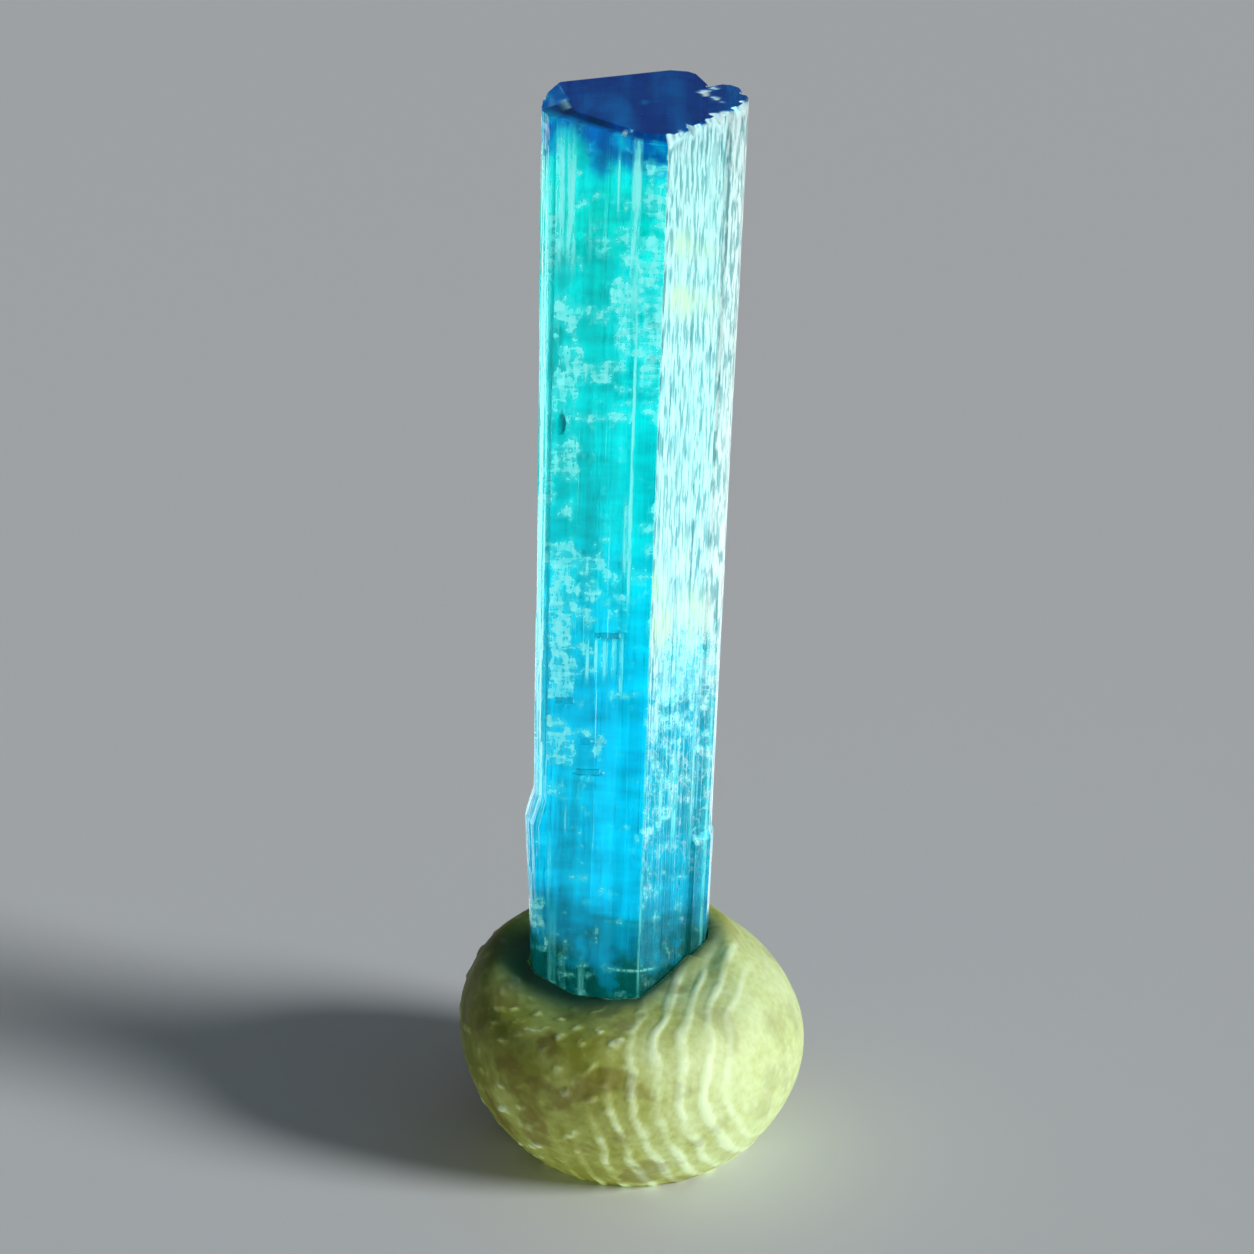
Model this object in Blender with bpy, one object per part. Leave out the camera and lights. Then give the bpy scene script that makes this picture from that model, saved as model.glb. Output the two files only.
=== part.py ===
"""A striated blue tourmaline prism standing in a ball of mineral tack.

Two solids. "crystal" is the main prism with the narrow side crystals that grew onto it.
"putty" is the ball of tack that its lower end is pushed into, pressed flat underneath.
The origin is the middle of the putty's flat foot, +Z is up, and the edge between the
crystal's two broadest faces looks towards -Y. Lengths are metres.
"""

import math
import random

import bmesh
import bpy
from mathutils import Matrix, Vector

MM = 0.001
NAME = "tourmaline_in_putty"
SEED = 7

# Crystal. Tourmaline's prism faces stand every 30 degrees round its axis.
# Bearings turn from -Y towards +X, and distances are from the axis at the top end.
CRYSTAL_LENGTH = 18.95 * MM
CRYSTAL_BASE = Vector((-0.317, 0.0, 1.5)) * MM
LEAN = math.radians(1.64)  # towards +X
TAPER = 6.2  # share of width lost per metre, going down
FIRST_BEARING = math.radians(52)
FACE_STEP = math.radians(30)
FACE_DISTANCES = [
    d * MM for d in (1.345, 1.53, 1.385, 1.69, 1.63, 1.383, 1.69, 1.767, 1.65, 1.312, 1.56, 1.665)
]
STRIATION_SPACING = 0.13 * MM
STRIATION_DEPTH = 0.034 * MM
STRIATION_FADE = 4.2 * MM  # a groove fades out and comes back over about this length
STRIATION_SWELL = 0.35  # share of its depth that a groove gains and loses on the way
EDGE_CLEFT = 0.05 * MM  # depth of the cleft beside a full-length side crystal
CLEFT_WIDTH = math.radians(1.2)
LEAST_TURN = math.radians(0.8)  # columns closer than this become one
LEAST_FACING = 0.2  # a face turned further than this cosine is never the nearest

# Side crystals grow parallel to the main one: their faces keep its bearings and stand
# further out. "low" and "high" are the heights, above the crystal's end, of the outer
# and the inner edge of the sloped top, or None where they reach the main one's top.
# "narrowing" is the further share of width that they lose per metre, going down.
SIDE_CRYSTALS = (
    {
        "start": 80.5,
        "end": 125.5,
        "faces": {0: 1.365, 1: 1.741, 2: 1.85, 3: 1.68},
        "low": None,
        "high": None,
        "narrowing": 0,
    },
    {
        "start": -115,
        "end": -72,
        "faces": {7: 1.935, 8: 1.80, 9: 1.42},
        "low": 5.05,
        "high": 5.56,
        "narrowing": 26,
    },
    {
        "start": 75,
        "end": 100,
        "faces": {0: 1.42, 1: 1.79},
        "low": 4.70,
        "high": 4.84,
        "narrowing": 0,
    },
)

# Recesses in the faces: bearings, heights above the crystal's end, and depth.
RECESSES = (
    {"start": -24, "end": -10, "bottom": 6.2, "top": 8.80, "depth": 0.035},
    {"start": -62, "end": -56, "bottom": 12.86, "top": 13.14, "depth": 0.10},
    {"start": -60, "end": -36, "bottom": 5.95, "top": 6.75, "depth": 0.03},
)
LEDGE = 0.04 * MM  # height over which a recess begins or ends
LEVEL_TOLERANCE = 0.001 * MM
RING_HEIGHTS = [h * MM for h in (0.0, 1.6, 2.6, 3.6, 10.2, 11.5, 14.4, 15.8, 17.2, 18.3)]

# Top end: a flat face, with end faces that slope down from it. Each has the bearing that
# it faces, the distance of its upper edge from the axis, and its slope.
END_FACES = (
    {"bearing": -76, "distance": 1.25, "slope": 0.40},
    {"bearing": -38, "distance": 1.10, "slope": 0.45},
    {"bearing": -4, "distance": 1.42, "slope": 0.80},
    {"bearing": 200, "distance": 1.30, "slope": 0.50},
)
RIM_WEAR = 0.05 * MM  # width of the worn rim where no end face reaches
# The rim that is knocked about: its bearings, and how deep and how wide its chips are.
CHIPPED_RIM = {"start": 16, "end": 126, "depth": 0.15, "width": 0.16}
TOURMALINE_IOR = 1.63

# Putty. Its shoulders are squarer than a ball's, and its lower half is rounder.
PUTTY_RADIUS = 3.17 * MM
PUTTY_HALF_HEIGHT = 2.62 * MM
PUTTY_CENTRE = Vector((-0.02, 0.0, 1.93)) * MM
PUTTY_TILT = math.radians(9.5)
SHOULDER = 0.10  # share by which the upper half is fuller than the lower
FINGER_RIDGE_COUNT = 20  # ridges between the print's middle and the far side
FINGER_RIDGE_HEIGHT = 0.022 * MM
PRINT_MIDDLE = Vector((0.92, -0.36, 0.10))
PRINT_REACH = math.radians(125)  # the ridges fade out this far from the print's middle
PUTTY_SEGMENTS = 44
CONTACT_HEIGHT = 3.58 * MM  # where the putty meets the crystal
DIMPLE_RADII = (1.5 * MM, 2.5 * MM)  # where the putty starts and stops sinking to it
SOCKET_CLEARANCE = 0.04 * MM


def turned(angle):
    """The angle brought between minus and plus half a turn."""
    return (angle + math.pi) % (2 * math.pi) - math.pi


def within(bearing, part):
    """Whether a bearing lies between a part's start and end, which are in degrees."""
    middle = math.radians((part["start"] + part["end"]) / 2)
    half = math.radians((part["end"] - part["start"]) / 2)
    return abs(turned(bearing - middle)) <= half


def reach(bearing, distances):
    """How far a ray from the axis goes before it meets the nearest of some flat faces."""
    found = []
    for index, distance in distances:
        turn = turned(bearing - FIRST_BEARING - index * FACE_STEP)
        if math.cos(turn) > LEAST_FACING:
            found.append(distance / math.cos(turn))
    return min(found)


def corner(first, first_distance, second_distance):
    """Bearing of the edge between a face and the next one round."""
    across = second_distance - first_distance * math.cos(FACE_STEP)
    along = first_distance * math.sin(FACE_STEP)
    return FIRST_BEARING + first * FACE_STEP + math.atan2(across, along)


def columns(chance):
    """The crystal's vertical lines: each one's bearing, groove depth and groove phase."""
    count = len(FACE_DISTANCES)
    corners = [
        corner(k, FACE_DISTANCES[k], FACE_DISTANCES[(k + 1) % count]) for k in range(count)
    ]
    found = []
    for k in range(count):
        start = corners[k - 1]
        turn = (corners[k] - start) % (2 * math.pi)
        width = turn * FACE_DISTANCES[k]
        steps = max(1, round(width / STRIATION_SPACING))
        for step in range(steps):
            depth = STRIATION_DEPTH * chance.uniform(0.35, 1) if step % 2 else 0
            phase = chance.uniform(0, 2 * math.pi)
            found.append((start + turn * step / steps, depth, phase))
    for side in SIDE_CRYSTALS:
        for edge, outward in (("start", -1), ("end", 1)):
            bearing = math.radians(side[edge])
            cleft = EDGE_CLEFT if side["low"] is None else 0
            found.append((bearing, 0, 0))
            found.append((bearing + outward * CLEFT_WIDTH, cleft, 0))
    found = sorted((bearing % (2 * math.pi), *rest) for bearing, *rest in found)
    kept = found[:1]
    for column in found[1:]:
        if column[0] - kept[-1][0] > LEAST_TURN:
            kept.append(column)
    return kept


def groove(column, height):
    """Depth of a column's groove at a height above the crystal's end."""
    _, depth, phase = column
    wave = math.sin(phase + 2 * math.pi * height / STRIATION_FADE)
    return depth * (1 - STRIATION_SWELL + STRIATION_SWELL * wave)


def crystal_radius(column, height, grooved=True):
    """Distance from the axis to the crystal's surface at a height above its end."""
    bearing = column[0]
    radius = reach(bearing, enumerate(FACE_DISTANCES))
    for side in SIDE_CRYSTALS:
        top = CRYSTAL_LENGTH if side["low"] is None else side["low"] * MM
        below = top - height
        if within(bearing, side) and below > -LEVEL_TOLERANCE:
            faces = [(k, d * MM) for k, d in side["faces"].items()]
            radius = max(radius, reach(bearing, faces) * (1 - side["narrowing"] * below))
    for recess in RECESSES:
        deep = recess["bottom"] * MM < height < recess["top"] * MM
        if deep and within(bearing, recess):
            radius -= recess["depth"] * MM
    if grooved:
        radius -= groove(column, height)
    return radius * (1 - TAPER * (CRYSTAL_LENGTH - height))


def ring_heights():
    heights = list(RING_HEIGHTS)
    for side in SIDE_CRYSTALS:
        if side["low"] is not None:
            heights += [side["low"] * MM, side["high"] * MM]
    for recess in RECESSES:
        for edge, inward in (("bottom", 1), ("top", -1)):
            heights += [recess[edge] * MM, recess[edge] * MM + inward * LEDGE]
    return sorted(heights)


def crystal_point(bearing, radius, height):
    return Vector((math.sin(bearing) * radius, -math.cos(bearing) * radius, height))


def loft(rings):
    """One closed mesh from rings of points with equal counts, lowest first."""
    mesh = bmesh.new()
    rows = [[mesh.verts.new(point) for point in ring] for ring in rings]
    count = len(rows[0])
    for lower, upper in zip(rows, rows[1:]):
        for i in range(count):
            j = (i + 1) % count
            mesh.faces.new((lower[i], lower[j], upper[j], upper[i]))
    mesh.faces.new(reversed(rows[0]))
    mesh.faces.new(rows[-1])
    return mesh


def rim(bearing, radius, chance):
    """Radius of the flat top at a bearing, and how far the rim outside it drops."""
    inner = radius - RIM_WEAR
    drop = RIM_WEAR
    for face in END_FACES:
        across = math.cos(turned(bearing - math.radians(face["bearing"])))
        beyond = radius * across - face["distance"] * MM
        if beyond > 0:
            inner = min(inner, face["distance"] * MM / across)
            drop = max(drop, beyond * face["slope"])
    if within(bearing, CHIPPED_RIM):
        inner -= CHIPPED_RIM["width"] * MM * chance.random()
        drop += CHIPPED_RIM["depth"] * MM * chance.random() ** 2
    return inner, drop


def crystal_rings(chance):
    lines = columns(chance)
    rings = []
    for height in ring_heights():
        ring = []
        for column in lines:
            radius = crystal_radius(column, height)
            ring.append(crystal_point(column[0], radius, height))
        rings.append(ring)
    outer, inner = [], []
    for column in lines:
        radius = crystal_radius(column, CRYSTAL_LENGTH)
        flat_radius, drop = rim(column[0], radius, chance)
        outer.append(crystal_point(column[0], radius, CRYSTAL_LENGTH - drop))
        inner.append(crystal_point(column[0], flat_radius, CRYSTAL_LENGTH))
    return rings + [outer, inner]


def place_crystal(thing):
    thing.location = CRYSTAL_BASE
    thing.rotation_euler = (0, LEAN, 0)


def add_object(name, mesh, collection):
    bmesh.ops.recalc_face_normals(mesh, faces=mesh.faces)
    data = bpy.data.meshes.new(name)
    mesh.to_mesh(data)
    mesh.free()
    thing = bpy.data.objects.new(name, data)
    collection.objects.link(thing)
    return thing


def add_material(thing, name, colour, roughness, transmission=0.0):
    material = bpy.data.materials.new(name)
    material.use_nodes = True
    shader = material.node_tree.nodes["Principled BSDF"]
    shader.inputs["Base Color"].default_value = (*colour, 1)
    shader.inputs["Roughness"].default_value = roughness
    shader.inputs["Metallic"].default_value = 0
    shader.inputs["Transmission Weight"].default_value = transmission
    thing.data.materials.append(material)
    return shader


def build_crystal(parts):
    crystal = add_object("crystal", loft(crystal_rings(random.Random(SEED))), parts)
    place_crystal(crystal)
    shader = add_material(crystal, "tourmaline", (0.0, 0.60, 0.78), 0.08, 0.9)
    shader.inputs["IOR"].default_value = TOURMALINE_IOR


def build_socket(cutters):
    """The space that the crystal's lower end and a hair's breadth round it take up."""
    rings = []
    for height in (-SOCKET_CLEARANCE, CONTACT_HEIGHT):
        ring = []
        for column in columns(random.Random(SEED)):
            radius = crystal_radius(column, max(0, height), grooved=False)
            ring.append(crystal_point(column[0], radius + SOCKET_CLEARANCE, height))
        rings.append(ring)
    socket = add_object("socket_cutter", loft(rings), cutters)
    place_crystal(socket)
    socket.hide_render = True
    socket.display_type = "WIRE"
    return socket


def putty_point(direction):
    """A point of the ball: an oblate, tilted form with finger ridges round the print."""
    arc = direction.angle(PRINT_MIDDLE)
    strength = math.sin(min(arc, PRINT_REACH) * math.pi / PRINT_REACH) ** 0.5
    ridge = FINGER_RIDGE_HEIGHT * strength * math.cos(2 * arc * FINGER_RIDGE_COUNT)
    up = direction.z
    width = PUTTY_RADIUS * (1 + SHOULDER * up * (1 - up * up)) + ridge
    sizes = (width, width, PUTTY_HALF_HEIGHT + ridge)
    point = Vector(size * share for size, share in zip(sizes, direction))
    point = Matrix.Rotation(PUTTY_TILT, 3, "Y") @ point
    point += PUTTY_CENTRE
    if point.z > PUTTY_CENTRE.z:
        away = math.hypot(point.x - CRYSTAL_BASE.x, point.y)
        near, far = DIMPLE_RADII
        share = min(1, max(0, (far - away) / (far - near)))
        point.z += (CONTACT_HEIGHT - point.z) * share * share * (3 - 2 * share)
    return point


def build_putty(parts, socket):
    mesh = bmesh.new()
    bmesh.ops.create_uvsphere(
        mesh, u_segments=PUTTY_SEGMENTS, v_segments=2 * FINGER_RIDGE_COUNT, radius=1
    )
    to_print = Vector((0, 0, 1)).rotation_difference(PRINT_MIDDLE)
    for vert in mesh.verts:
        vert.co = putty_point((to_print @ vert.co).normalized())
    geometry = mesh.verts[:] + mesh.edges[:] + mesh.faces[:]
    cut = bmesh.ops.bisect_plane(
        mesh, geom=geometry, plane_co=(0, 0, 0), plane_no=(0, 0, -1), clear_outer=True
    )
    rim_edges = [part for part in cut["geom_cut"] if isinstance(part, bmesh.types.BMEdge)]
    bmesh.ops.contextual_create(mesh, geom=rim_edges)
    putty = add_object("putty", mesh, parts)
    add_material(putty, "mineral_tack", (0.42, 0.52, 0.14), 0.55)
    cutting = putty.modifiers.new("socket", "BOOLEAN")
    cutting.operation = "DIFFERENCE"
    cutting.solver = "EXACT"
    cutting.object = socket


def main():
    for thing in list(bpy.data.objects):
        bpy.data.objects.remove(thing, do_unlink=True)
    parts = bpy.data.collections.new(NAME)
    cutters = bpy.data.collections.new("cutters")
    bpy.context.scene.collection.children.link(parts)
    bpy.context.scene.collection.children.link(cutters)
    build_crystal(parts)
    build_putty(parts, build_socket(cutters))


main()
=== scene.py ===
import math
import random
from functools import partial

import bpy
import numpy as np
from mathutils import Matrix, Vector


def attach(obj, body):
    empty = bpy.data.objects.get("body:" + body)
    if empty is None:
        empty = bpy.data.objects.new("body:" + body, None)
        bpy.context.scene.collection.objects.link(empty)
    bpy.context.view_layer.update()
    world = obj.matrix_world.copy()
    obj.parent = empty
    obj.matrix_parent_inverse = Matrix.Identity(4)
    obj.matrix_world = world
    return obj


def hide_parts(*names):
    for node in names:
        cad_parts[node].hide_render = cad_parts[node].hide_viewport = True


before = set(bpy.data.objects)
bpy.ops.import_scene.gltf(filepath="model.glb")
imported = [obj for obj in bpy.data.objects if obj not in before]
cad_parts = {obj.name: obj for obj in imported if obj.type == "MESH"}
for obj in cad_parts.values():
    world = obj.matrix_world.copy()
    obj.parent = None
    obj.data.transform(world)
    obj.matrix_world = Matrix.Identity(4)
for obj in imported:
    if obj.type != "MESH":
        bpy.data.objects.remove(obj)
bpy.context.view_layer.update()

mm = 0.001
smooth = {"interpolation_type": "SMOOTHSTEP"}


def linearColour(code):
    # sRGB hex to the linear values that Blender's sockets take
    parts = [int(code[i:i + 2], 16) / 255 for i in (1, 3, 5)]
    return [p / 12.92 if p <= 0.04045 else ((p + 0.055) / 1.055) ** 2.4 for p in parts] + [1.0]


def addNode(tree, kind, inputs=None, stops=(), **settings):
    # an input takes a node, a socket, a hex colour or a plain value; stops are a colour ramp's
    # places and hex colours; settings are the node's own properties
    node = tree.nodes.new(kind)
    for key, value in settings.items():
        setattr(node, key, value)
    for key, value in (inputs or {}).items():
        if isinstance(value, bpy.types.Node):
            value = next(s for s in value.outputs if s.enabled)
        if isinstance(value, bpy.types.NodeSocket):
            tree.links.new(value, node.inputs[key])
        else:
            node.inputs[key].default_value = linearColour(value) if str(value)[:1] == "#" else value
    for number, (spot, code) in enumerate(stops):
        if number > 1:
            node.color_ramp.elements.new(1.0)
        element = node.color_ramp.elements[number]
        element.position, element.color = spot, linearColour(code)
    return node


def newMaterial(name, allOver):
    # allOver holds what is the same all over the surface, set on the shader's own sockets
    material = bpy.data.materials.new(name)
    material.use_nodes = True
    tree = material.node_tree
    shader = next(n for n in tree.nodes if n.type == "BSDF_PRINCIPLED")
    for socket, value in allOver.items():
        shader.inputs[socket].default_value = value
    return material, tree, shader, partial(addNode, tree)


def newShapeTree(name, sizes):
    # a geometry node tree with a named input for each size, and one for the material
    tree = bpy.data.node_groups.new(name, "GeometryNodeTree")
    face = tree.interface
    face.new_socket("Geometry", in_out="INPUT", socket_type="NodeSocketGeometry")
    for label, size in sizes.items():
        kind = "NodeSocketFloat" if isinstance(size, float) else "NodeSocketVector"
        face.new_socket(label, in_out="INPUT", socket_type=kind).default_value = size
    face.new_socket("Material", in_out="INPUT", socket_type="NodeSocketMaterial")
    face.new_socket("Geometry", in_out="OUTPUT", socket_type="NodeSocketGeometry")
    return tree, partial(addNode, tree)


def endShapeTree(add, geometry, material):
    real = add("GeometryNodeRealizeInstances", {0: geometry})
    skin = add("GeometryNodeSetMaterial", {"Geometry": real, "Material": material})
    add("NodeGroupOutput", {0: skin})


def addObject(name, data):
    thing = bpy.data.objects.new(name, data)
    bpy.context.scene.collection.objects.link(thing)
    return thing


def placePiece(name, mesh, slot, *nodes):
    piece = addObject(name, mesh)
    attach(piece, "root")
    if nodes:
        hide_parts(*nodes)
    return piece


def meshFromGrid(name, points, closeLow, closeHigh):
    # points[row, column] wraps round its columns; each end is closed on a middle point
    rows, columns = points.shape[:2]
    mesh = bpy.data.meshes.new(name)
    verts = [tuple(p) for p in points.reshape(-1, 3)] + [tuple(closeLow), tuple(closeHigh)]
    low, high = rows * columns, rows * columns + 1
    faces = []
    for row in range(rows - 1):
        for column in range(columns):
            after = (column + 1) % columns
            a, b = row * columns + column, row * columns + after
            faces.append((a, b, b + columns, a + columns))
    for column in range(columns):
        after = (column + 1) % columns
        faces.append((low, after, column))
        faces.append((high, (rows - 1) * columns + column, (rows - 1) * columns + after))
    mesh.from_pydata(verts, [], faces)
    mesh.update()
    return mesh


def bakeNodes(mesh, tree, inputs):
    # runs a geometry node tree on a mesh and hands back the plain result
    carrier = addObject("carrier", mesh)
    modifier = carrier.modifiers.new("shape", "NODES")
    modifier.node_group = tree
    sockets = {s.name: s.identifier for s in tree.interface.items_tree if s.item_type == "SOCKET"}
    for name, value in inputs.items():
        modifier[sockets[name]] = value
    evaluated = carrier.evaluated_get(bpy.context.evaluated_depsgraph_get())
    result = bpy.data.meshes.new_from_object(evaluated)
    carrier.modifiers.clear()
    bpy.data.objects.remove(carrier)
    return result


# millimetres throughout; bearings in degrees turn from the front (-Y) towards the right (+X)

view = {"aim": (-0.07, 0.0, 10.40), "distance": 110, "elevation": 26.5, "lens": 176.8}

rise = math.radians(view["elevation"])
back = Vector((0, -math.cos(rise), math.sin(rise)))
cameraData = bpy.data.cameras.new("studioCamera")
cameraData.sensor_width = 36
cameraData.lens = view["lens"]
cameraData.clip_start = 10 * mm
camera = addObject("studioCamera", cameraData)
camera.location = (Vector(view["aim"]) + back * view["distance"]) * mm
camera.rotation_euler = (-back).to_track_quat("-Z", "Y").to_euler()
bpy.context.scene.camera = camera
print("camera set")


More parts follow.
